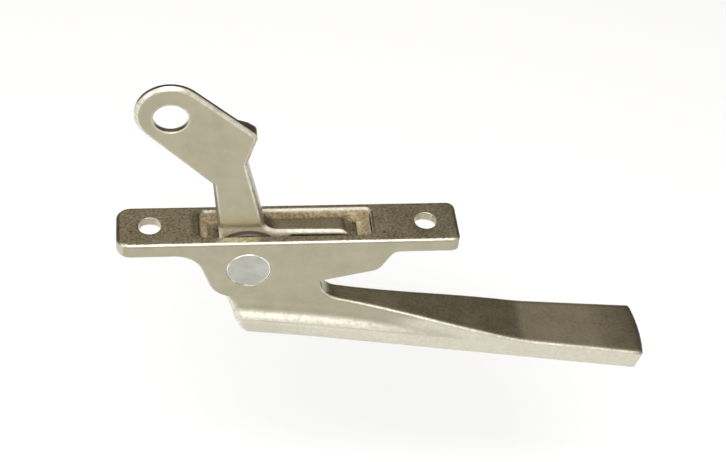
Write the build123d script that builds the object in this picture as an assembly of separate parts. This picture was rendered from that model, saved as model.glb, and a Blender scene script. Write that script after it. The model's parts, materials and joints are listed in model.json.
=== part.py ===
from build123d import *
import os
from math import asin, atan2, cos, radians, sin, sqrt, tan

# Window locking handle. Millimetres, origin on the mounting face midway between the screw holes.
# +Z leaves the mounting face, +X runs along the base towards the grip, -Y is the front cheek.

# Base plate
plate_length = 86.7
plate_width = 14.0
plate_thickness = 4.3
plate_left_corner_radius = 3.6
plate_right_corner_radius = 2.2
plate_edge_radius = 1.0
screw_spacing = 70.0
screw_hole_radius = 2.9
screw_land = 2.2
countersink_angle = 82.0

# Slot through the plate, set a little behind the middle
slot_left = -22.4
slot_right = 21.2
slot_width = 8.7
slot_centre = 0.4
slot_corner_radius = 1.4
slot_rim_bevel = 0.6
slot_end_slope = 13.0

# Cheeks: the corners of their outline below the plate, and the rounding of each
cheek_left_top = -23.8
cheek_left_root_radius = 7.2
cheek_heel = (-18.2, -21.0)
cheek_heel_radius = 7.0
cheek_nose = (23.0, -10.85)
cheek_nose_radius = 3.4
cheek_right_top = 26.7
cheek_right_root_radius = 2.4
cheek_edge_bevel = 0.4

# Pivot
pivot_x = -10.4
pivot_depth = 9.55
rivet_radius = 5.75
rivet_chamfer = 0.25
rivet_clearance = 0.05
hub_side_clearance = 0.12

# Lever web, which lies in the slot
web_half_thickness = 2.6
web_top_drop = 0.7
web_right_end = 17.5
web_right_radius = 3.0
hub_boss_radius = 8.0

# Neck and eye arm
neck_foot = -5.9
neck_foot_radius = 4.2
waist = (-11.2, 22.1)
waist_radius = 1.0
elbow = (-8.65, 31.1)
elbow_radius = 2.2
eye_height = 38.2
eye_lobe = (-29.4, eye_height)
eye_lobe_radius = 8.5
eye_hole_drop = 0.85
eye_hole_radius = 4.25
arm_edge_bevel = 0.8
eye_thickness = 1.5
arm_inner_corner = (-19.4, 15.6)
arm_inner_radius = 1.2
neck_lean = 2.0
step_head = (-11.2, 33.4)
step_thickness = 3.1
step_slope = 26.0
neck_taper = 8.0

# Grip: its underside is one straight line, its top is a ramp and then a flat
underside_height = -37.8
underside_slope = 0.145
heel_corner = -11.1
heel_knee = (-18.7, -17.2)
heel_radius = 3.2
throat = (6.6, -24.35)
throat_radius = 6.5
ramp_end = 66.0
grip_thickness = 7.1
bend_radius = 60.0
grip_end = 100.9
grip_end_bow = 45.0
grip_corner_radius = 1.6
grip_edge_radius = 1.0

# Section across the handle: a bar with drafted sides and a flare that sweeps up into the web
bar_taper = 0.04
taper_easing = 20.0
bar_draft = 4.0
bar_bottom_bevel = 0.8
rim_height = 5.2
ledge = 2.95
ledge_left = 0.08
flare_angle = 55.0
flare_angle_left = 16.0
rim_share = 0.15
flare_start = 14.0
flare_end = 68.0
section_count = 16

# Worked out from the sizes above
pivot = (pivot_x, -pivot_depth)
hub_radius = pivot_depth - web_top_drop
half_width = plate_width / 2
flat_middle = (ramp_end + grip_end) / 2
neck_root = (arm_inner_corner[0] + neck_lean, pivot[1] + hub_radius / 2)

# Lengths that carry a cutting shape past the casting, and the gap outside its sides
reach = 40.0
spare = 3.0
plan_margin = 0.02
section_top = eye_height + eye_lobe_radius + spare


def underside(x):
    """Height of the handle's underside at x."""
    return underside_height - underside_slope * x


def blend(x):
    """How far the flare has died away at x, from 0 to 1."""
    share = min(max((x - flare_start) / (flare_end - flare_start), 0), 1)
    return share * share * (3 - 2 * share)


def ledge_at(x):
    return ledge + (ledge_left - ledge) * blend(x)


def half_width_at(x):
    """Half the handle's width at x, which grows from a smooth start at the neck."""
    along = max(x - neck_foot, 0)
    easing = min(along, taper_easing)
    widening = bar_taper * (easing * easing / (2 * taper_easing) + along - easing)
    return web_half_thickness + ledge + widening


def tangent_point(centre, radius, corner, side):
    """Where a line from the corner touches the circle; side is 1 or -1."""
    dx = corner[0] - centre[0]
    dz = corner[1] - centre[1]
    distance = sqrt(dx * dx + dz * dz)
    angle = atan2(dz, dx) + side * (radians(90) - asin(radius / distance))
    return (centre[0] + radius * cos(angle), centre[1] + radius * sin(angle))


def upright(sketch, near, far):
    """Extrudes an X-Z outline from y = near to y = far."""
    return Pos(0, far, 0) * extrude(Plane.XZ * sketch, far - near)


def cross_pin(radius, length, middle):
    """A cylinder along Y on the pivot, its middle at y = middle."""
    return Pos(pivot_x, middle, -pivot_depth) * Rot(90, 0, 0) * Cylinder(radius, length)


def nearest(shapes, point):
    """The one of the shapes that lies nearest to the point."""
    return shapes.sort_by_distance(point)[0]


def make_base():
    plan = Rectangle(plate_length, plate_width)
    plan = fillet(plan.vertices().sort_by(Axis.X)[:2], plate_left_corner_radius)
    plan = fillet(plan.vertices().sort_by(Axis.X)[-2:], plate_right_corner_radius)
    side_view = FilletPolyline(
        (-plate_length, 0),
        (plate_length, 0),
        (plate_length, -plate_thickness),
        (cheek_right_top, -plate_thickness),
        cheek_nose,
        cheek_heel,
        (cheek_left_top, -plate_thickness),
        (-plate_length, -plate_thickness),
        radius=[
            0,
            0,
            0,
            cheek_right_root_radius,
            cheek_nose_radius,
            cheek_heel_radius,
            cheek_left_root_radius,
            0,
        ],
        close=True,
    )
    base = upright(make_face(side_view), -plate_width, plate_width) & extrude(plan, -reach)
    base = fillet(base.faces().sort_by(Axis.Z)[-1].edges(), plate_edge_radius)
    lower_edges = [nearest(base.edges(), (0, side * half_width, cheek_heel[1])) for side in (-1, 1)]
    base = chamfer(lower_edges, cheek_edge_bevel)

    slot_plan = RectangleRounded(slot_right - slot_left, slot_width, slot_corner_radius)
    base -= Pos((slot_left + slot_right) / 2, slot_centre, 0) * extrude(slot_plan, -plate_thickness)
    slope = tan(radians(slot_end_slope))
    room = Polyline(
        (slot_left - reach, -plate_thickness),
        (slot_right - plate_thickness * slope, -plate_thickness),
        (slot_right - reach * slope, -reach),
        (slot_left - reach, -reach),
        close=True,
    )
    base -= upright(make_face(room), slot_centre - slot_width / 2, slot_centre + slot_width / 2)
    slot_rim = base.faces().sort_by(Axis.Z)[-1].inner_wires()[0]
    base = chamfer(slot_rim.edges(), slot_rim_bevel)

    head_depth = plate_thickness - screw_land
    head_radius = screw_hole_radius + head_depth * tan(radians(countersink_angle / 2))
    for side in (-1, 1):
        hole = Pos(0, 0, -plate_thickness / 2) * Cylinder(screw_hole_radius, 2 * plate_thickness)
        hole += Pos(0, 0, -screw_land - head_depth / 2) * Cone(head_radius, screw_hole_radius, head_depth)
        base -= Pos(side * screw_spacing / 2, 0, 0) * hole
    return base - cross_pin(rivet_radius, 2 * plate_width, 0)


def section(x):
    """The handle's section at x: drafted sides, then the flare that sweeps up into the web."""
    wide = half_width_at(x)
    web_side = wide - ledge_at(x)
    rim = rim_height
    lean = radians(flare_angle + (flare_angle_left - flare_angle) * blend(x))
    draft = radians(bar_draft)
    sweep = ledge_at(x) / (1 - cos(lean))
    rim_radius = rim_share * sweep
    flare_radius = sweep - rim_radius
    flare_top = rim + sweep * sin(lean)
    wall_top = (wide - rim_radius * (1 - cos(draft)), rim - rim_radius * sin(draft))
    top = section_top - underside(x)
    half = [
        (wall_top[0] - (wall_top[1] + spare) * tan(draft), -spare),
        wall_top,
        (wide, rim),
        (wide - rim_radius * (1 - cos(lean)), rim + rim_radius * sin(lean)),
        (web_side + flare_radius * (1 - cos(lean / 2)), flare_top - flare_radius * sin(lean / 2)),
        (web_side, flare_top),
        (web_side, top),
    ]
    edges = []
    for side in (1, -1):
        foot, wall, rim_middle, rim_top, flare_middle, web, head = [(side * y, z) for y, z in half]
        edges.append(Line(foot, wall))
        edges.append(ThreePointArc(wall, rim_middle, rim_top))
        edges.append(ThreePointArc(rim_top, flare_middle, web))
        edges.append(Line(web, head))
    edges.append(Line((-half[0][0], -spare), half[0]))
    edges.append(Line((-web_side, top), half[-1]))
    plane = Plane(origin=(x, slot_centre, underside(x)), x_dir=(0, 1, 0), z_dir=(1, 0, 0))
    return plane * make_face(edges)


def lever_outline():
    """The lever seen from the front: handle, web, hub, neck and eye arm."""
    eye_upper = tangent_point(eye_lobe, eye_lobe_radius, elbow, 1)
    eye_lower = tangent_point(eye_lobe, eye_lobe_radius, arm_inner_corner, -1)
    hub_left = tangent_point(pivot, hub_radius, heel_knee, -1)
    beyond = grip_end + spare
    corners = [
        ((heel_corner, underside(heel_corner)), heel_radius),
        ((beyond, underside(beyond)), 0),
        ((beyond, underside(beyond) + grip_thickness), 0),
        ((ramp_end, underside(ramp_end) + grip_thickness), bend_radius),
        (throat, throat_radius),
        ((web_right_end, -web_top_drop), 0),
        ((neck_foot, -web_top_drop), neck_foot_radius),
        (waist, waist_radius),
        (elbow, elbow_radius),
        (eye_upper, 0),
        (eye_lower, 0),
        (arm_inner_corner, arm_inner_radius),
        (neck_root, 0),
        (hub_left, 0),
        (heel_knee, 0),
    ]
    points = [point for point, radius in corners]
    radii = [radius for point, radius in corners]
    outline = make_face(FilletPolyline(*points, radius=radii, close=True))
    return outline + Pos(*eye_lobe) * Circle(eye_lobe_radius) + Pos(*pivot) * Circle(hub_radius)


def grip_plan():
    """All the room the handle may fill, seen from above: it ends in a bow with round corners."""
    end_half = half_width_at(grip_end) + plan_margin
    back = grip_end_bow
    back_half = half_width_at(grip_end - back) + plan_margin
    drop = grip_end_bow - sqrt(grip_end_bow * grip_end_bow - end_half * end_half)
    plan = make_face(
        [
            Line((-back, back_half), (-drop, end_half)),
            ThreePointArc((-drop, end_half), (0, 0), (-drop, -end_half)),
            Polyline((-drop, -end_half), (-back, -back_half), (-back, -reach), (-5 * reach, -reach)),
            Polyline((-5 * reach, -reach), (-5 * reach, reach), (-back, reach), (-back, back_half)),
        ]
    )
    plan = fillet(plan.vertices().sort_by(Axis.X)[-2:], grip_corner_radius)
    plane = Plane(
        origin=(grip_end, slot_centre, underside(grip_end) + rim_height),
        x_dir=(1, 0, -underside_slope),
        z_dir=(underside_slope, 0, 1),
    )
    lower = extrude(plane * plan, -rim_height - spare, taper=bar_draft)
    return lower + extrude(plane * plan, 3 * reach)


def arm_recess():
    """What is cut from the back of the arm: the neck tapers, then a ramp falls to the thin eye."""
    step_depth = step_thickness - eye_thickness
    full_depth = 2 * web_half_thickness - eye_thickness
    ramp = step_depth / tan(radians(step_slope))
    taper = (full_depth - step_depth) / tan(radians(neck_taper))
    profile = make_face(
        Polyline(
            (-taper, full_depth),
            (0, step_depth),
            (ramp, 0),
            (reach, 0),
            (reach, reach),
            (-taper, reach),
            close=True,
        )
    )
    dx = step_head[0] - arm_inner_corner[0]
    dz = step_head[1] - arm_inner_corner[1]
    thin_back = slot_centre - web_half_thickness + eye_thickness
    plane = Plane(
        origin=(arm_inner_corner[0], thin_back, arm_inner_corner[1]),
        x_dir=(-dz, 0, dx),
        z_dir=(-dx, 0, -dz),
    )
    return extrude(plane * profile, 2 * reach, both=True)


def web_corner():
    """What is cut from the web's upper right corner to round it."""
    corners = [(neck_foot, -web_top_drop), (web_right_end, -web_top_drop), throat]
    sharp = make_face(Polyline(*corners, close=True))
    rounded = make_face(FilletPolyline(*corners, radius=[0, web_right_radius, 0], close=True))
    return upright(sharp - rounded, -reach, reach)


def handle_edges(lever, half, height):
    """The handle's end edge and its two long edges, at a height above the underside."""
    level = underside(flat_middle) + height
    ends = [(grip_end, slot_centre, underside(grip_end) + height)]
    sides = [(flat_middle, slot_centre + side * half, level) for side in (-1, 1)]
    return [nearest(lever.edges(), point) for point in ends + sides]


def make_lever():
    left = extrude(section(neck_foot), reach, dir=(-1, 0, underside_slope))
    spacing = (grip_end + spare - neck_foot) / section_count
    right = loft([section(neck_foot + number * spacing) for number in range(section_count + 1)])
    lever = left + right
    lever &= upright(lever_outline(), -reach, reach)
    lever &= grip_plan()

    bar_half = half_width_at(flat_middle)
    top_half = bar_half - ledge_at(flat_middle)
    lever = fillet(handle_edges(lever, top_half, grip_thickness), grip_edge_radius)
    lever = chamfer(handle_edges(lever, bar_half, 0), bar_bottom_bevel)
    eye_left = (eye_lobe[0] - eye_lobe_radius, slot_centre - web_half_thickness, eye_height)
    lever = chamfer(nearest(lever.edges(), eye_left), arm_edge_bevel)
    lever -= web_corner()
    lever -= arm_recess()

    lever += cross_pin(hub_boss_radius, slot_width - 2 * hub_side_clearance, slot_centre)
    lever -= cross_pin(rivet_radius + rivet_clearance, 2 * plate_width, 0)
    eye_hole = Pos(eye_lobe[0], 0, eye_height - eye_hole_drop) * Rot(90, 0, 0)
    lever -= eye_hole * Cylinder(eye_hole_radius, 2 * plate_width)
    return lever


def make_rivet():
    rivet = cross_pin(rivet_radius, plate_width, 0)
    return chamfer(rivet.edges().filter_by(GeomType.CIRCLE), rivet_chamfer)


nodes = {
    "base_casting": make_base(),
    "lever_casting": make_lever(),
    "pivot_rivet": make_rivet(),
}
os.makedirs("parts", exist_ok=True)
for name, shape in nodes.items():
    shape.label = name
    export_step(shape, f"parts/{name}.step")
    print(name, round(shape.volume), "mm3", shape.bounding_box())
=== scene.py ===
# %% [markdown]
# # Window locking handle
# Three metal pieces were packed from the CAD model: a base casting, a lever casting and the rivet
# between them. Their shapes are right already, so this lesson keeps them and gives them metal,
# light, a floor and a camera. Only two small slopes inside the slot are added. Everything is in
# metres, in the frame of the CAD model.

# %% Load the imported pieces
import json
from math import cos, pi, radians, sin

import bmesh
import bpy
from mathutils import Matrix, Vector, noise


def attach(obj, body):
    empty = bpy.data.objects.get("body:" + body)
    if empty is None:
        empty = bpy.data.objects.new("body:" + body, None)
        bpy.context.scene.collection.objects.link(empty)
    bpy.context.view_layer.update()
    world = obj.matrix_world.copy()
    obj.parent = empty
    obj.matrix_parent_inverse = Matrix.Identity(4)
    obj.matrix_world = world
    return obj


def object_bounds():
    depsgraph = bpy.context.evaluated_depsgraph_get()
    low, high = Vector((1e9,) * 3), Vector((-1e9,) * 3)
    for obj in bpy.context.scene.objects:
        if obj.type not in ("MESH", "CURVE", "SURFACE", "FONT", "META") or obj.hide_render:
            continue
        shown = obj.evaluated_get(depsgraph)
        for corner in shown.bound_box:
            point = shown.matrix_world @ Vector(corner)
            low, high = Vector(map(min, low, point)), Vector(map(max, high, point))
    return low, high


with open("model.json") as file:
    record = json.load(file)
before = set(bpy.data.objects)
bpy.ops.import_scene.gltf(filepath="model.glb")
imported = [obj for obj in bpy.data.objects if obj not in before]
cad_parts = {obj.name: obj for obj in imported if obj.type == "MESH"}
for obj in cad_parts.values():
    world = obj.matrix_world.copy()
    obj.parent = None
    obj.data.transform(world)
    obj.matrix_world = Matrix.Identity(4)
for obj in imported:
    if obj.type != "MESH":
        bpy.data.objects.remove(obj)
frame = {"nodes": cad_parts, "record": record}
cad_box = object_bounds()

scene = bpy.context.scene
MM = 0.001
nodes = frame["nodes"]
print("pieces:", sorted(nodes))

# %% [markdown]
# ## Camera
# The photograph was taken from in front and above, with the camera leaning a little to one side.
# A camera can be aimed with a constraint, but the lean is then awkward, so its three axes are
# worked out and put straight into its matrix.

# %% Camera axes
CAMERA_TURN = radians(-10.512)
CAMERA_HEIGHT = radians(44.988)
CAMERA_LEAN = radians(6.273)

back = Vector((
    sin(CAMERA_TURN) * cos(CAMERA_HEIGHT),
    -cos(CAMERA_TURN) * cos(CAMERA_HEIGHT),
    sin(CAMERA_HEIGHT),
))
level = Vector((cos(CAMERA_TURN), sin(CAMERA_TURN), 0))
upright = back.cross(level)
right = level * cos(CAMERA_LEAN) + upright * sin(CAMERA_LEAN)
up = upright * cos(CAMERA_LEAN) - level * sin(CAMERA_LEAN)
print("the camera looks along", [round(-part, 3) for part in back])

# %% Camera
CAMERA_DISTANCE = 400 * MM
CAMERA_AIM = Vector((19.123, 0, -3.312)) * MM
FOCAL_PIXELS = 1561.146
PHOTO_WIDTH = 726
SENSOR_WIDTH = 36
NEAREST = 10 * MM

camera_data = bpy.data.cameras.new("camera")
camera_data.sensor_fit = "HORIZONTAL"
camera_data.sensor_width = SENSOR_WIDTH
camera_data.lens = FOCAL_PIXELS / PHOTO_WIDTH * SENSOR_WIDTH
camera_data.clip_start = NEAREST
camera = bpy.data.objects.new("camera", camera_data)
scene.collection.objects.link(camera)
camera.matrix_world = Matrix.Translation(CAMERA_AIM + back * CAMERA_DISTANCE) @ Matrix(
    (right, up, back)
).transposed().to_4x4()
scene.camera = camera
print("lens", round(camera_data.lens, 2), "mm")

# %% [markdown]
# ## Floor
# The handle is meant to be screwed to a frame, so it has no foot of its own, and its grip swings
# down below everything else when it opens. The lever's points are turned through the whole range of
# its joint to find the lowest place that it reaches, and a plain pale floor lies just under that. It
# is wide enough to fill the view from every side.

# %% Lowest point of the swing
SWING_STEPS = 14

joints = frame["record"]["behaviour"]["joints"]
swing = next(joint for joint in joints if joint["name"] == "handle_pivot")
pivot = Vector(swing["pos_m"])
start, end = (radians(limit) for limit in swing["range_deg"])
lowest = cad_box[0].z
for step in range(SWING_STEPS + 1):
    angle = start + (end - start) * step / SWING_STEPS
    turn = Matrix.Rotation(angle, 3, Vector(swing["axis"]))
    for vertex in nodes["lever_casting"].data.vertices:
        lowest = min(lowest, (pivot + turn @ (vertex.co - pivot)).z)
print("lowest point of the swing", round(lowest / MM, 2), "mm")

# %% Floor
FLOOR_HALF = 3.0
FLOOR_GAP = 2 * MM

floor_height = lowest - FLOOR_GAP
floor_corners = ((-1, -1), (1, -1), (1, 1), (-1, 1))
floor_mesh = bpy.data.meshes.new("floor")
floor_mesh.from_pydata(
    [(x * FLOOR_HALF, y * FLOOR_HALF, floor_height) for x, y in floor_corners], [], [(0, 1, 2, 3)]
)
floor = bpy.data.objects.new("floor", floor_mesh)
scene.collection.objects.link(floor)
print("floor at", round(floor_height / MM, 2), "mm")

# %% [markdown]
# ## Node helpers
# Shader nodes are many, so short functions add them. The first fills a node's inputs: a socket is
# linked and any other value is typed in. The others make sums, soft steps and mixes from it. *ramp*
# rises smoothly from one value to another, and *fall* goes from one to nothing.

# %% Node helpers
def add_node(tree, kind, inputs=None, **settings):
    made = tree.nodes.new("ShaderNode" + kind)
    for name, value in settings.items():
        setattr(made, name, value)
    for name, value in (inputs or {}).items():
        if isinstance(value, bpy.types.NodeSocket):
            tree.links.new(value, made.inputs[name])
        else:
            made.inputs[name].default_value = value
    return made


def maths(tree, operation, *values):
    return add_node(tree, "Math", dict(enumerate(values)), operation=operation).outputs[0]


def product(tree, first, *others):
    for other in others:
        first = maths(tree, "MULTIPLY", first, other)
    return first


def largest(tree, first, *others):
    for other in others:
        first = maths(tree, "MAXIMUM", first, other)
    return first


# %% Ramps and mixes
def ramp(tree, value, low, high, start=0.0, end=1.0):
    inputs = {"Value": value, "From Min": low, "From Max": high, "To Min": start, "To Max": end}
    return add_node(tree, "MapRange", inputs, interpolation_type="SMOOTHSTEP").outputs["Result"]


def fall(tree, value, low, high):
    return ramp(tree, value, low, high, 1, 0)


def mix_value(tree, share, first, second):
    return add_node(tree, "Mix", {0: share, 2: first, 3: second}, data_type="FLOAT").outputs[0]


def mix_colour(tree, share, first, second):
    made = add_node(tree, "Mix", {"Factor": share}, data_type="RGBA")
    for name, value in (("A", first), ("B", second)):
        socket = next(item for item in made.inputs if item.name == name and item.type == "RGBA")
        if isinstance(value, bpy.types.NodeSocket):
            tree.links.new(value, socket)
        else:
            socket.default_value = (*value, 1)
    return next(item for item in made.outputs if item.type == "RGBA")


# %% [markdown]
# ## Floor paint
# The floor is matt and nearly white. A little glow that only the camera and mirrors see lifts it to
# the white of the photograph. The glow lights nothing, and the handle's shadow stays.

# %% Floor paint
FLOOR_COLOUR = (0.95, 0.95, 0.95, 1)
FLOOR_GLOW = (0.03, 0.065, 0.10, 1)
FLOOR_ROUGHNESS = 0.9
FLOOR_SHINE = 0.1

floor_paint = bpy.data.materials.new("floor_paint")
floor_paint.use_nodes = True
tree = floor_paint.node_tree
shader = tree.nodes["Principled BSDF"]
shader.inputs["Base Color"].default_value = FLOOR_COLOUR
shader.inputs["Roughness"].default_value = FLOOR_ROUGHNESS
shader.inputs["Specular IOR Level"].default_value = FLOOR_SHINE
shader.inputs["Emission Color"].default_value = FLOOR_GLOW
rays = add_node(tree, "LightPath").outputs
seen = largest(tree, rays["Is Camera Ray"], rays["Is Glossy Ray"], rays["Is Transmission Ray"])
tree.links.new(seen, shader.inputs["Emission Strength"])
floor_mesh.materials.append(floor_paint)
print("floor_paint has", len(tree.nodes), "nodes")

# %% [markdown]
# ## Light
# Metal shows what stands round it. In the photograph the faces that look up are dark, because they
# mirror a dim room behind, and the rounded front edges are white, because they mirror a large soft
# light overhead. One wide lamp above, a little to the front, does the same here, and a weak lamp on
# the left lifts the side. A lamp's power is worked out from its brightness and area, so that its
# reflection keeps its brightness when its size is changed.

# %% Lamps
TOP_LAMP = {
    "place": (-0.05, -0.44, 0.74), "aim": (0.02, 0, 0), "width": 0.75, "height": 0.62, "radiance": 4.1
}
SIDE_LAMP = {
    "place": (-0.9, -0.5, 0.35), "aim": (0, 0, 0), "width": 0.6, "height": 0.6, "radiance": 1.2
}


def soft_lamp(name, place, aim, width, height, radiance):
    data = bpy.data.lights.new(name, "AREA")
    data.shape = "RECTANGLE"
    data.size = width
    data.size_y = height
    data.energy = radiance * pi * width * height
    lamp = bpy.data.objects.new(name, data)
    scene.collection.objects.link(lamp)
    lamp.location = place
    lamp.rotation_euler = (Vector(place) - Vector(aim)).to_track_quat("Z", "Y").to_euler()
    print(name, "gives", round(data.energy, 2), "W")


soft_lamp("top_lamp", **TOP_LAMP)
soft_lamp("side_lamp", **SIDE_LAMP)

# %% [markdown]
# ## Room
# The world is the room that the metal mirrors. Towards the back it is dim and warm and grows
# lighter with height, less so on the right. Towards the front it is pale. Walls could be built for
# this, but a few soft steps over the direction of the light give the same reflections.

# %% World
BACK_LOW = (0.12, 0.105, 0.08)
BACK_HIGH = (0.54, 0.465, 0.375)
FRONT = (0.95, 0.92, 0.88)
RIGHT_SHADE = 0.68
BRIGHTENING = (0.42, 0.68)
RIGHTWARDS = (0.0, 0.2)
BACKWARDS = (-0.4, 0.3)

world = bpy.data.worlds.new("room")
scene.world = world
world.use_nodes = True
tree = world.node_tree
tree.nodes.clear()
direction = add_node(tree, "TexCoord").outputs["Generated"]
looking = add_node(tree, "SeparateXYZ", {0: direction}).outputs
height = ramp(tree, looking["Z"], *BRIGHTENING)
light = product(tree, height, ramp(tree, looking["X"], *RIGHTWARDS, 1, RIGHT_SHADE))
rear = mix_colour(tree, light, BACK_LOW, BACK_HIGH)
room = mix_colour(tree, ramp(tree, looking["Y"], *BACKWARDS), FRONT, rear)
sky = add_node(tree, "Background", {"Color": room})
add_node(tree, "OutputWorld", {"Surface": sky.outputs[0]})
scene.view_settings.view_transform = "Standard"
print("room has", len(tree.nodes), "nodes")

# %% [markdown]
# ## Shared effects
# What more than one metal uses is a node group, built once and placed in each material with its own
# values. Two short functions make a group with named sockets and place it.

# %% Group helpers
def new_group(name, inputs, outputs):
    group = bpy.data.node_groups.new(name, "ShaderNodeTree")
    for label, kind in inputs:
        group.interface.new_socket(label, in_out="INPUT", socket_type="NodeSocket" + kind)
    for label, kind in outputs:
        group.interface.new_socket(label, in_out="OUTPUT", socket_type="NodeSocket" + kind)
    print(name, "gives", [label for label, kind in outputs])
    return group, group.nodes.new("NodeGroupInput").outputs, group.nodes.new("NodeGroupOutput").inputs


def use_group(tree, group, inputs):
    return add_node(tree, "Group", inputs, node_tree=group).outputs


# %% [markdown]
# ## Cast grain
# The skin of a casting is finely uneven: the mould leaves sand marks and tumbling softens them. The
# marks are far too small to model, so noise in the material makes them. One noise is fine, one is
# broad, and a pattern of cells gives a few specks.

# %% Cast grain
FINE_GRAIN = 0.7 * MM
BROAD_MOTTLE = 7 * MM
NOISE_DETAIL = 3.0
NOISE_ROUGHNESS = 0.6
SPECK_SPACING = 2.2 * MM
SPECK_SIZE = (0.05, 0.22)
SPECK_CHOICE = (0.75, 0.9)

cast_grain, given, wanted = new_group(
    "cast_grain",
    [("Point", "Vector")],
    [("Height", "Float"), ("Mottle", "Float"), ("Specks", "Float")],
)
settings = {"Vector": given["Point"], "Detail": NOISE_DETAIL, "Roughness": NOISE_ROUGHNESS}
fine = add_node(cast_grain, "TexNoise", {**settings, "Scale": 1 / FINE_GRAIN}).outputs["Fac"]
broad = add_node(cast_grain, "TexNoise", {**settings, "Scale": 1 / BROAD_MOTTLE}).outputs["Fac"]
cells = add_node(
    cast_grain, "TexVoronoi", {"Vector": given["Point"], "Scale": 1 / SPECK_SPACING}
).outputs
chosen = add_node(cast_grain, "SeparateColor", {"Color": cells["Color"]}).outputs["Red"]
speck = product(
    cast_grain, fall(cast_grain, cells["Distance"], *SPECK_SIZE), ramp(cast_grain, chosen, *SPECK_CHOICE)
)
cast_grain.links.new(maths(cast_grain, "SUBTRACT", fine, speck), wanted["Height"])
cast_grain.links.new(broad, wanted["Mottle"])
cast_grain.links.new(speck, wanted["Specks"])

# %% [markdown]
# ## Edge wear and highlight
# Hands and polishing wheels reach the edges first, so these shine, and a cast edge is never sharp.
# The CAD edges are plain bevels, to keep the mesh light. The Bevel node rounds the shading near an
# edge. Where it turns away from the flat face, and on the slanting bevel strips, the metal is painted
# paler: partly edge wear and partly a painted highlight.

# %% Edge wear and highlight
ROUNDING_SAMPLES = 8
BENT = (0.005, 0.09)
BEVEL_FROM = (0.2, 0.5)
BEVEL_TO = (0.75, 0.9)
PATCH_SIZE = 1.2 * MM
PATCH_RANGE = (0.3, 0.6)
PATCH_LEAST = 0.55

edge_wear_highlight, given, wanted = new_group(
    "edge_wear_highlight",
    [("Point", "Vector"), ("Radius", "Float")],
    [("Normal", "Vector"), ("Wear highlight", "Float")],
)
rounded = add_node(
    edge_wear_highlight, "Bevel", {"Radius": given["Radius"]}, samples=ROUNDING_SAMPLES
).outputs["Normal"]
flat = add_node(edge_wear_highlight, "NewGeometry").outputs["Normal"]
likeness = add_node(
    edge_wear_highlight, "VectorMath", {0: rounded, 1: flat}, operation="DOT_PRODUCT"
).outputs["Value"]
bend = ramp(edge_wear_highlight, maths(edge_wear_highlight, "SUBTRACT", 1.0, likeness), *BENT)
across = maths(edge_wear_highlight, "ABSOLUTE", add_node(edge_wear_highlight, "SeparateXYZ", {0: flat}).outputs["Y"])
# the slanting bevel strips are painted paler: a painted highlight
bevelled = product(
    edge_wear_highlight, ramp(edge_wear_highlight, across, *BEVEL_FROM), fall(edge_wear_highlight, across, *BEVEL_TO)
)
patchy = add_node(
    edge_wear_highlight, "TexNoise", {"Vector": given["Point"], "Scale": 1 / PATCH_SIZE}
).outputs["Fac"]
wear_highlight = product(
    edge_wear_highlight,
    largest(edge_wear_highlight, bend, bevelled),
    ramp(edge_wear_highlight, patchy, *PATCH_RANGE, PATCH_LEAST, 1),
)
edge_wear_highlight.links.new(rounded, wanted["Normal"])
edge_wear_highlight.links.new(wear_highlight, wanted["Wear highlight"])

# %% [markdown]
# ## Corner shade
# Painted shade: the inner corners are darkened. It could be painted by hand, but ambient occlusion
# finds the corners by itself, and a noise breaks up the outline.

# %% Corner shade
SHADE_REACH = 1.4 * MM
SHADE_SAMPLES = 8
CLOSED_IN = (0.3, 0.75)
BREAKUP_SIZE = 2 * MM
BREAKUP_RANGE = (0.25, 0.6)
BREAKUP_LEAST = 0.4

corner_shade, given, wanted = new_group("corner_shade", [("Point", "Vector")], [("Corner shade", "Float")])
openness = add_node(
    corner_shade, "AmbientOcclusion", {"Distance": SHADE_REACH}, samples=SHADE_SAMPLES
).outputs["AO"]
breakup = add_node(
    corner_shade, "TexNoise", {"Vector": given["Point"], "Scale": 1 / BREAKUP_SIZE}
).outputs["Fac"]
# painted shade: ambient occlusion darkens the inner corners
painted_corner_shade = product(
    corner_shade,
    fall(corner_shade, openness, *CLOSED_IN),
    ramp(corner_shade, breakup, *BREAKUP_RANGE, BREAKUP_LEAST, 1),
)
corner_shade.links.new(painted_corner_shade, wanted["Corner shade"])

# %% [markdown]
# ## Places
# Some finishes lie only in one place, such as the slot. A few measures in the casting's own
# coordinates say where, and they move with the piece. *Soft region* is a box with soft sides, and
# *forward bevel* finds the slanting rims that look to the front.

# %% Soft region
soft_region, given, wanted = new_group(
    "soft_region",
    [("Point", "Vector"), ("Low", "Vector"), ("High", "Vector"), ("Soft", "Float")],
    [("Inside", "Float")],
)
points, lows, highs = (
    add_node(soft_region, "SeparateXYZ", {0: given[label]}).outputs for label in ("Point", "Low", "High")
)
inside = []
for axis in "XYZ":
    for side, step in ((lows[axis], ramp), (highs[axis], fall)):
        outer = maths(soft_region, "SUBTRACT", side, given["Soft"])
        inner = maths(soft_region, "ADD", side, given["Soft"])
        inside.append(step(soft_region, points[axis], outer, inner))
soft_region.links.new(product(soft_region, *inside), wanted["Inside"])

# %% Forward bevel
LYING = (0.3, 0.5)
FORWARD = (-0.6, -0.3)

forward_bevel, given, wanted = new_group("forward_bevel", [("Normal", "Vector")], [("Rim", "Float")])
facing = add_node(forward_bevel, "SeparateXYZ", {0: given["Normal"]}).outputs
rim = product(
    forward_bevel,
    fall(forward_bevel, facing["Y"], *FORWARD),
    ramp(forward_bevel, facing["Z"], *LYING),
)
forward_bevel.links.new(rim, wanted["Rim"])
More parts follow.
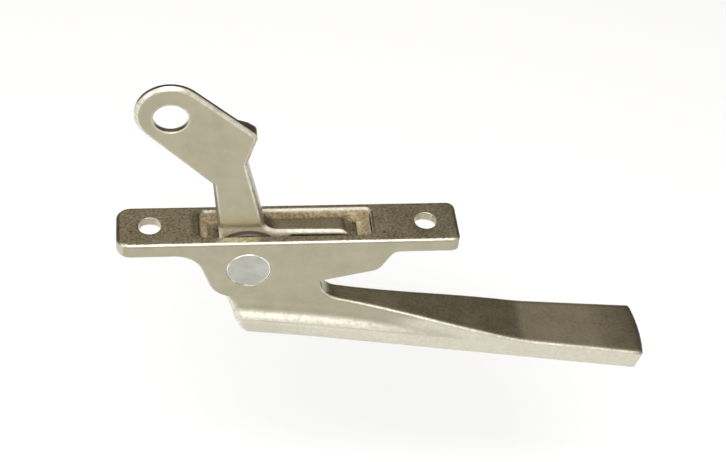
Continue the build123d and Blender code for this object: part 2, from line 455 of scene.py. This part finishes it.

# %% [markdown]
# ## Pale bronze
# The castings are a pale bronze with a satin finish. One function lays the shared effects over the
# metal. Faces that look up keep more of the sandy mould skin, so their grain is stronger. Each
# casting adds two finishes of its own inside masks: a *special* one with its own colours, roughness
# and grain, which on the lever is partly painted light, and a *dark* one that is painted shade. Where
# the skin is partly oxide, the metal is less metallic. A single function keeps the two castings alike.

# %% Bronze colour
SATIN_DARK = (0.350, 0.323, 0.234)
SATIN_LIGHT = (0.398, 0.369, 0.272)
SANDY_DARK = (0.21, 0.196, 0.145)
SANDY_LIGHT = (0.53, 0.50, 0.38)
WEAR_HIGHLIGHT = (0.82, 0.79, 0.68)
# the colour of the real specks and of the painted shade in the corners
SPECK_AND_SHADE = (0.10, 0.08, 0.05)
PAINTED_SHADE = (0.045, 0.042, 0.034)
MOTTLE_RANGE = (0.3, 0.7)
GRAIN_RANGE = (0.36, 0.62)
FINE_SHARE = 0.7
CORNER_SHADE_SHARE = 0.35
SPECK_SHARE = 0.12


def bronze_colour(tree, own, upward, grain, edge, painted_corner_shade):
    uneven = mix_value(tree, FINE_SHARE, grain["Mottle"], grain["Height"])
    spread = (0.5 - own["sandiness"] / 2, 0.5 + own["sandiness"] / 2)
    satin = mix_colour(tree, ramp(tree, grain["Mottle"], *MOTTLE_RANGE), SATIN_DARK, SATIN_LIGHT)
    sandy = mix_colour(tree, ramp(tree, uneven, *GRAIN_RANGE, *spread), SANDY_DARK, SANDY_LIGHT)
    special = mix_colour(tree, ramp(tree, uneven, *GRAIN_RANGE), own["low"], own["high"])
    metal = mix_colour(tree, own["special"], mix_colour(tree, upward, satin, sandy), special)
    # edges painted paler: partly edge wear, partly a painted highlight
    shining = mix_colour(tree, product(tree, edge["Wear highlight"], own["wear_highlight"]), metal, WEAR_HIGHLIGHT)
    specks = product(tree, grain["Specks"], upward, SPECK_SHARE)
    # painted shade in the inner corners, and real specks on faces that look up
    specks_and_shade = largest(tree, product(tree, painted_corner_shade, CORNER_SHADE_SHARE), specks)
    shaded = mix_colour(tree, specks_and_shade, shining, SPECK_AND_SHADE)
    # painted shade: the dark mask mixes towards a near-black colour
    return mix_colour(tree, own["dark"], shaded, PAINTED_SHADE)


# %% Bronze
UPWARD = (0.6, 0.9)
SATIN_ROUGHNESS = (0.27, 0.36)
SHADE_ROUGHNESS = 0.6
OXIDE_METALLIC = 0.35
SIDE_RELIEF = 1.8
TOP_RELIEF = 3.5
GRAIN_DEPTH = 0.03 * MM
GRAIN_STRENGTH = 0.5


def bronze(name, own_finish):
    material = bpy.data.materials.new(name)
    material.use_nodes = True
    tree = material.node_tree
    shader = tree.nodes["Principled BSDF"].inputs
    place = add_node(tree, "TexCoord").outputs
    axes = add_node(tree, "SeparateXYZ", {0: place["Object"]}).outputs
    facing = add_node(tree, "SeparateXYZ", {0: place["Normal"]}).outputs
    grain = use_group(tree, cast_grain, {"Point": place["Object"]})
    painted_corner_shade = use_group(tree, corner_shade, {"Point": place["Object"]})["Corner shade"]
    own = own_finish(tree, place, axes, facing)
    edge = use_group(tree, edge_wear_highlight, {"Point": place["Object"], "Radius": own["edge_radius"]})
    upward = ramp(tree, facing["Z"], *UPWARD)

    colour = bronze_colour(tree, own, upward, grain, edge, painted_corner_shade)
    satin = ramp(tree, grain["Mottle"], *MOTTLE_RANGE, *SATIN_ROUGHNESS)
    finish = mix_value(tree, own["special"], satin, own["roughness"])
    plain_relief = ramp(tree, upward, 0, 1, SIDE_RELIEF, TOP_RELIEF)
    relief = mix_value(tree, own["special"], plain_relief, own["relief"])
    bump = add_node(tree, "Bump", {
        "Height": product(tree, grain["Height"], relief),
        "Strength": GRAIN_STRENGTH,
        "Distance": GRAIN_DEPTH,
        "Normal": edge["Normal"],
    })
    tree.links.new(colour, shader["Base Color"])
    tree.links.new(mix_value(tree, own["dark"], finish, SHADE_ROUGHNESS), shader["Roughness"])
    tree.links.new(ramp(tree, own["oxide"], 0, 1, 1, OXIDE_METALLIC), shader["Metallic"])
    tree.links.new(bump.outputs["Normal"], shader["Normal"])
    print(name, "has", len(tree.nodes), "nodes")
    return material


# %% [markdown]
# ## Base
# The slot in the base is never polished: its walls keep the golden, sandy skin of the mould, and so
# does the room between the cheeks. Both are soft regions, measured in the casting's own coordinates.
# Round the slot's left end, where the plate's top dips into the hollow, it is painted dark: painted
# shade. The room between the cheeks and the slot's right end are darkened as painted shade too.

# %% Slot skin
SLOT_LOW = Vector((-22.6, -4.2, -5.0)) * MM
SLOT_HIGH = Vector((21.4, 5.0, -0.5)) * MM
ROOM_LOW = Vector((-60, -4.2, -60)) * MM
ROOM_HIGH = Vector((60, 5.0, -4.2)) * MM
SLOT_SOFT = 0.3 * MM
HOLLOW_SHADE_LOW = Vector((-24.6, -4.2, -0.4)) * MM
HOLLOW_SHADE_HIGH = Vector((-22.0, 5.0, 0.5)) * MM
HOLLOW_SHADE_SOFT = 0.8 * MM
HOLLOW_SHADE_DARKNESS = 0.6
ROOM_DARKNESS = 0.45
SLOT_RIGHT = (16 * MM, 20 * MM)
SLOT_RIGHT_DARKNESS = 0.35


def region(tree, place, low, high, soft):
    inputs = {"Point": place["Object"], "Low": low, "High": high, "Soft": soft}
    return use_group(tree, soft_region, inputs)["Inside"]


def slot_skin(tree, place, axes):
    slot = region(tree, place, SLOT_LOW, SLOT_HIGH, SLOT_SOFT)
    room = region(tree, place, ROOM_LOW, ROOM_HIGH, SLOT_SOFT)
    hollow_shade = region(tree, place, HOLLOW_SHADE_LOW, HOLLOW_SHADE_HIGH, HOLLOW_SHADE_SOFT)
    # painted shade: round the slot's left end, between the cheeks and towards the slot's right end
    shade = largest(
        tree,
        product(tree, hollow_shade, HOLLOW_SHADE_DARKNESS),
        product(tree, room, ROOM_DARKNESS),
        product(tree, slot, ramp(tree, axes["X"], *SLOT_RIGHT, 0, SLOT_RIGHT_DARKNESS)),
    )
    return slot, room, shade


# %% [markdown]
# ## Rims of the plate
# The rounded ends of the plate are painted dark: a painted reflection of the dark room they mirror.
# The top of the far end is painted a little darker, as painted shade, and the slot's rear rim is
# darkened to dim its highlight, as painted shade.

# %% Plate rims
PLATE_END = (42.2 * MM, 42.7 * MM)
END_DARKNESS = 0.65
RIM_UP = (0.2, 0.5)
FAR_END = (20 * MM, 32 * MM)
FAR_END_DARKNESS = 0.13
REAR_RIM = (2 * MM, 3 * MM)
RIM_SHADE = 0.42


def plate_rims(tree, place, axes, facing):
    outward = maths(tree, "ABSOLUTE", axes["X"])
    slanting = use_group(tree, forward_bevel, {"Normal": place["Normal"]})["Rim"]
    # painted reflection on the plate's ends, painted shade on the far end's top and over the rear rim's
    # highlight
    return largest(
        tree,
        product(
            tree, ramp(tree, outward, *PLATE_END, 0, END_DARKNESS), ramp(tree, facing["Z"], *RIM_UP)
        ),
        product(
            tree, ramp(tree, axes["X"], *FAR_END, 0, FAR_END_DARKNESS), ramp(tree, facing["Z"], *UPWARD)
        ),
        product(tree, slanting, ramp(tree, axes["Y"], *REAR_RIM, 0, RIM_SHADE)),
    )


# %% Base bronze
GOLDEN_DARK = (0.36, 0.28, 0.16)
GOLDEN_LIGHT = (0.78, 0.66, 0.44)
GOLDEN_ROUGHNESS = 0.7
GOLDEN_RELIEF = 4.0
BASE_EDGE_RADIUS = 0.5 * MM
BASE_WEAR_HIGHLIGHT = 0.45
BASE_SANDINESS = 0.85


def base_finish(tree, place, axes, facing):
    slot, room, shade = slot_skin(tree, place, axes)
    return {
        "special": largest(tree, slot, room),
        "low": GOLDEN_DARK,
        "high": GOLDEN_LIGHT,
        "roughness": GOLDEN_ROUGHNESS,
        "relief": GOLDEN_RELIEF,
        "dark": largest(tree, shade, plate_rims(tree, place, axes, facing)),
        "oxide": slot,
        "edge_radius": BASE_EDGE_RADIUS,
        "wear_highlight": BASE_WEAR_HIGHLIGHT,
        "sandiness": BASE_SANDINESS,
    }


base_bronze = bronze("base_bronze", base_finish)

# %% [markdown]
# ## Lever
# The lower side of the handle is painted paler than the rest: a painted reflection of the bright floor
# that its lower wall mirrors. The mask grows downwards from the web to the side wall and along the
# handle from the heel, and leaves the top face out. Height is measured from the handle's underside,
# which is a sloping line.

# %% Side sheen
UNDERSIDE_HEIGHT = -37.8 * MM
UNDERSIDE_SLOPE = 0.145
SHEEN_HEIGHT = (4.5 * MM, 10.0 * MM)
WIDENING = (25 * MM, 50 * MM)
WIDER_BY = 8 * MM
HEEL_TO_HANDLE = (-16 * MM, 14 * MM)
HEEL_SHARE = 0.6
SIDE_ON = (0.35, 0.75)


def above_underside(tree, axes):
    slope = product(tree, axes["X"], UNDERSIDE_SLOPE)
    return maths(tree, "SUBTRACT", maths(tree, "ADD", axes["Z"], slope), UNDERSIDE_HEIGHT)


# painted light: the lower side is painted paler, a painted reflection of the bright floor
def side_sheen(tree, axes, facing, above):
    wider = ramp(tree, axes["X"], *WIDENING, 0, WIDER_BY)
    low = fall(tree, maths(tree, "SUBTRACT", above, wider), *SHEEN_HEIGHT)
    along = ramp(tree, axes["X"], *HEEL_TO_HANDLE, HEEL_SHARE, 1)
    return product(tree, low, along, fall(tree, facing["Z"], *SIDE_ON))


# %% [markdown]
# ## Dark places on the lever
# The up-facing upper edge of the arm is painted dark: a painted reflection of the dim room above. The
# lower wall of the eye looks up as well, but it is painted less dark. The bosses of the hub, inside
# the base, are painted dark: painted shade.

# %% Arm edge
EYE = Vector((-29.4, 37.35)) * MM
EYE_WALL = (4.4 * MM, 5.0 * MM)
EYE_DARKNESS = 0.35
ARM_DARKNESS = 0.85
ARM_HEIGHT = (-1 * MM, 2 * MM)
ARM_UP = (0.3, 0.55)
ARM_ACROSS = (0.2, 0.6)


def from_axis(tree, axes, centre):
    sides = [maths(tree, "SUBTRACT", axes[name], middle) for name, middle in zip("XZ", centre)]
    return maths(tree, "SQRT", maths(tree, "ADD", *[product(tree, side, side) for side in sides]))


# painted reflection: the arm's up-facing upper edge is painted dark
def arm_edge(tree, axes, facing):
    return product(
        tree,
        ramp(tree, axes["Z"], *ARM_HEIGHT),
        ramp(tree, facing["Z"], *ARM_UP),
        fall(tree, maths(tree, "ABSOLUTE", facing["Y"]), *ARM_ACROSS),
        ramp(tree, from_axis(tree, axes, EYE), *EYE_WALL, EYE_DARKNESS, ARM_DARKNESS),
    )


# %% Hub bosses
PIVOT = Vector((-10.4, 0, -9.55)) * MM
LEVER_MIDDLE = 0.4 * MM
BOSS_RADIUS = (9.2 * MM, 9.6 * MM)
BOSS_OUT = (2.5 * MM, 2.58 * MM)
BOSS_DARKNESS = 0.8


# painted shade on the hub's bosses inside the base
def hub_bosses(tree, axes):
    out = maths(tree, "ABSOLUTE", maths(tree, "SUBTRACT", axes["Y"], LEVER_MIDDLE))
    near = fall(tree, from_axis(tree, axes, PIVOT.xz), *BOSS_RADIUS)
    return product(tree, near, ramp(tree, out, *BOSS_OUT), BOSS_DARKNESS)


# %% [markdown]
# ## Top of the grip
# One patch of the grip's top is painted pale and the rest of the top darker: painted light and shade
# for the reflections of the top's slight bow. Its tip, which is rounded away, is painted darkest: a
# painted reflection of the dark room.

# %% Grip top
TOP_UP = (0.75, 0.95)
TOP_HEIGHT = (-24 * MM, -20 * MM)
PALE_PATCH_FROM = (64 * MM, 67 * MM)
PALE_PATCH_TO = (84 * MM, 97 * MM)
PALE_PATCH_SHARE = 0.5
DARKER_TOP_FROM = (20 * MM, 50 * MM)
DARKER_TOP_DARKNESS = 0.2
TIP = (95 * MM, 101 * MM)
TIP_DARKNESS = 0.6


# painted light and shade on the grip's top
def grip_top(tree, axes, facing):
    top = product(tree, ramp(tree, facing["Z"], *TOP_UP), fall(tree, axes["Z"], *TOP_HEIGHT))
    pale_patch = product(tree, ramp(tree, axes["X"], *PALE_PATCH_FROM), fall(tree, axes["X"], *PALE_PATCH_TO))
    darker_top = product(
        tree,
        top,
        ramp(tree, axes["X"], *DARKER_TOP_FROM),
        ramp(tree, pale_patch, 0, 1, DARKER_TOP_DARKNESS, 0),
    )
    tip = product(
        tree, ramp(tree, axes["X"], *TIP, 0, TIP_DARKNESS), ramp(tree, facing["Z"], *RIM_UP)
    )
    return product(tree, top, pale_patch, PALE_PATCH_SHARE), largest(tree, darker_top, tip)


# %% [markdown]
# ## Neck in the slot
# Where the neck goes down through the slot its front has the same golden skin as the slot's walls,
# partly a painted reflection of those walls. The web's rim beside it is darkened like the slot's rim,
# as painted shade that dims its highlight.

# %% Neck foot and web rim
FOOT_LOW = Vector((-26, -8, -8)) * MM
FOOT_HIGH = Vector((0, 8, 1.0)) * MM
FOOT_SOFT = 1.2 * MM
FOOT_FRONT = (-0.8, -0.5)
WEB_LOW = Vector((-5, -6, -6)) * MM
WEB_HIGH = Vector((24, 6, 0)) * MM
WEB_SOFT = 1.5 * MM


def neck_foot(tree, place, facing):
    # golden skin on the neck's front, partly a painted reflection of the slot's walls
    foot = region(tree, place, FOOT_LOW, FOOT_HIGH, FOOT_SOFT)
    return product(tree, foot, fall(tree, facing["Y"], *FOOT_FRONT))


def web_rim(tree, place):
    # painted shade over the web rim's highlight
    slanting = use_group(tree, forward_bevel, {"Normal": place["Normal"]})["Rim"]
    return product(tree, region(tree, place, WEB_LOW, WEB_HIGH, WEB_SOFT), slanting, RIM_SHADE)


# %% [markdown]
# ## Rounding of the lever's edges
# The arm's edges are tight, the grip's are fuller, and the heel rolls over in a broad flare. The edge
# wear and highlight group takes its radius from where the point lies.

# %% Edge radius
LEVER_EDGE_RADIUS = 1.0 * MM
GRIP_EDGE_RADIUS = 1.7 * MM
GRIP_FROM = (50 * MM, 68 * MM)
HEEL_EDGE_RADIUS = 3.5 * MM
HEEL_HEIGHT = (8 * MM, 12 * MM)
HEEL_TO = (20 * MM, 50 * MM)


def lever_edge_radius(tree, axes, above):
    grip = ramp(tree, axes["X"], *GRIP_FROM, LEVER_EDGE_RADIUS, GRIP_EDGE_RADIUS)
    heel = product(tree, fall(tree, above, *HEEL_HEIGHT), fall(tree, axes["X"], *HEEL_TO))
    return ramp(tree, heel, 0, 1, grip, HEEL_EDGE_RADIUS)


# %% Lever bronze
# paler colours of the painted sheen on the handle's lower side
SHEEN_DARK = (0.56, 0.53, 0.44)
SHEEN_LIGHT = (0.63, 0.60, 0.495)
FOOT_DARK = (0.50, 0.43, 0.29)
FOOT_LIGHT = (0.66, 0.58, 0.42)
SHEEN_ROUGHNESS = 0.42
SHEEN_RELIEF = 4.0
LEVER_WEAR_HIGHLIGHT = 0.8
LEVER_SANDINESS = 0.4


def lever_finish(tree, place, axes, facing):
    above = above_underside(tree, axes)
    foot = neck_foot(tree, place, facing)
    pale_patch, grip_shade = grip_top(tree, axes, facing)
    sheen = side_sheen(tree, axes, facing, above)
    # painted shade and painted reflections on the arm, the bosses and the web's rim
    lever_shade = largest(tree, arm_edge(tree, axes, facing), hub_bosses(tree, axes), web_rim(tree, place))
    return {
        "special": largest(tree, sheen, pale_patch, foot),
        "low": mix_colour(tree, foot, SHEEN_DARK, FOOT_DARK),
        "high": mix_colour(tree, foot, SHEEN_LIGHT, FOOT_LIGHT),
        "roughness": SHEEN_ROUGHNESS,
        "relief": SHEEN_RELIEF,
        "dark": largest(tree, lever_shade, grip_shade),
        "oxide": foot,
        "edge_radius": lever_edge_radius(tree, axes, above),
        "wear_highlight": LEVER_WEAR_HIGHLIGHT,
        "sandiness": LEVER_SANDINESS,
    }


lever_bronze = bronze("lever_bronze", lever_finish)

# %% [markdown]
# ## Rivet
# The rivet is a greyer steel. Its end was faced on a lathe, so fine rings run round its axis, which
# the material finds from the distance to the pivot. Rings made like that need no drawing and stay
# centred. The rim is painted bright in patches: a painted highlight.

# %% Rivet rings and rim
RING_SPACING = 0.25 * MM
RING_DETAIL = 2.0
RIM_INNER = 5.35 * MM
RIM_SOFT = 0.08 * MM
RIM_PATCH = 2.5 * MM
RIM_PATCH_RANGE = (0.42, 0.52)

rivet_steel = bpy.data.materials.new("rivet_steel")
rivet_steel.use_nodes = True
tree = rivet_steel.node_tree
place = add_node(tree, "TexCoord").outputs["Object"]
radius = from_axis(tree, add_node(tree, "SeparateXYZ", {0: place}).outputs, PIVOT.xz)
rings = add_node(
    tree, "TexNoise", {"W": radius, "Scale": 1 / RING_SPACING, "Detail": RING_DETAIL},
    noise_dimensions="1D",
).outputs["Fac"]
patches = add_node(tree, "TexNoise", {"Vector": place, "Scale": 1 / RIM_PATCH}).outputs["Fac"]
# painted highlight: bright patches on the rivet's rim
rim_highlight = product(
    tree,
    ramp(tree, radius, RIM_INNER - RIM_SOFT, RIM_INNER + RIM_SOFT),
    ramp(tree, patches, *RIM_PATCH_RANGE),
)
print("rings", RING_SPACING / MM, "mm apart, rim from", RIM_INNER / MM, "mm")

# %% Rivet steel
STEEL_DARK = (0.37, 0.37, 0.335)
STEEL_LIGHT = (0.47, 0.47, 0.43)
RIM_HIGHLIGHT = (0.95, 0.94, 0.88)
RIVET_EDGE_RADIUS = 0.2 * MM
RIVET_WEAR_HIGHLIGHT = 0.6
RIVET_ROUGHNESS = (0.3, 0.42)
RIVET_STRENGTH = 0.4

grain = use_group(tree, cast_grain, {"Point": place})
edge = use_group(tree, edge_wear_highlight, {"Point": place, "Radius": RIVET_EDGE_RADIUS})
steel = mix_colour(tree, ramp(tree, grain["Mottle"], *MOTTLE_RANGE), STEEL_DARK, STEEL_LIGHT)
wear_and_rim_highlight = largest(tree, product(tree, edge["Wear highlight"], RIVET_WEAR_HIGHLIGHT), rim_highlight)
bump = add_node(tree, "Bump", {
    "Height": maths(tree, "ADD", grain["Height"], rings),
    "Strength": RIVET_STRENGTH,
    "Distance": GRAIN_DEPTH,
    "Normal": edge["Normal"],
})
shader = tree.nodes["Principled BSDF"].inputs
tree.links.new(mix_colour(tree, wear_and_rim_highlight, steel, RIM_HIGHLIGHT), shader["Base Color"])
tree.links.new(ramp(tree, rings, *MOTTLE_RANGE, *RIVET_ROUGHNESS), shader["Roughness"])
tree.links.new(bump.outputs["Normal"], shader["Normal"])
shader["Metallic"].default_value = 1
print("rivet_steel has", len(tree.nodes), "nodes")

# %% [markdown]
# ## Ends of the slot
# In the real casting the slot's two ends run down in rough hollow slopes, which close the view
# through it. The CAD slot has plain ends, so each gets a small wedge that lies on the end wall. A
# wedge is a row of equal profiles across the slot, and a little noise makes its slope sandy.

# %% Hollow slope
SLOPE_STEPS = 12
SLOPE_HOLLOW = 0.6


def hollow_slope(wall, toe):
    """A curve from wall to toe, both x and z, that is drawn towards the corner below the wall."""
    corner = (wall[0], toe[1])
    slope = []
    for step in range(SLOPE_STEPS + 1):
        along = step / SLOPE_STEPS
        shares = ((1 - along) ** 2, 2 * along * (1 - along) * SLOPE_HOLLOW, along ** 2)
        slope.append([
            sum(share * point[axis] for share, point in zip(shares, (wall, corner, toe))) / sum(shares)
            for axis in (0, 1)
        ])
    return slope


# %% Wedge points and faces
SLOT_FRONT = -4.0 * MM
SLOT_BACK = 4.8 * MM
PLATE_BOTTOM = -4.3 * MM
ROWS = 24
SAND = 0.10 * MM
SAND_SIZE = 0.9 * MM


def wedge_points(wall, toe):
    points = []
    for row in range(ROWS + 1):
        y = SLOT_FRONT + (SLOT_BACK - SLOT_FRONT) * row / ROWS
        for step, (x, z) in enumerate(hollow_slope(wall, toe)):
            place = Vector((x, y, z))
            if 0 < step < SLOPE_STEPS:
                place.z += SAND * noise.noise(place / SAND_SIZE)
            points.append(place)
        points += [Vector((toe[0], y, PLATE_BOTTOM)), Vector((wall[0], y, PLATE_BOTTOM))]
    return points


def wedge_faces():
    around = SLOPE_STEPS + 3
    faces = []
    for row in range(ROWS):
        for step in range(around):
            first, second = row * around + step, row * around + (step + 1) % around
            faces.append((first, second, second + around, first + around))
    faces.append(tuple(reversed(range(around))))
    faces.append(tuple(range(ROWS * around, (ROWS + 1) * around)))
    return faces


# %% Slot ends
LEFT_WALL = (-22.45 * MM, -0.9 * MM)
LEFT_TOE = (-20.5 * MM, -4.2 * MM)
RIGHT_WALL = (20.9 * MM, -1.5 * MM)
RIGHT_TOE = (17.8 * MM, -4.2 * MM)


def slot_end(name, wall, toe):
    mesh = bpy.data.meshes.new(name)
    mesh.from_pydata(wedge_points(wall, toe), [], wedge_faces())
    shape = bmesh.new()
    shape.from_mesh(mesh)
    bmesh.ops.recalc_face_normals(shape, faces=shape.faces)
    shape.to_mesh(mesh)
    shape.free()
    mesh.materials.append(base_bronze)
    piece = bpy.data.objects.new(name, mesh)
    scene.collection.objects.link(piece)
    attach(piece, "base")
    print(name, "has", len(mesh.polygons), "faces")


slot_end("slot_end_left", LEFT_WALL, LEFT_TOE)
slot_end("slot_end_right", RIGHT_WALL, RIGHT_TOE)

# %% [markdown]
# ## Dressing the CAD pieces
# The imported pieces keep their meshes. Only the material in each of their slots is changed.

# %% Give the pieces their metal
metals = {"base_casting": base_bronze, "lever_casting": lever_bronze, "pivot_rivet": rivet_steel}
for name, metal in metals.items():
    for material_slot in nodes[name].material_slots:
        material_slot.material = metal
    print(name, "is made of", metal.name)
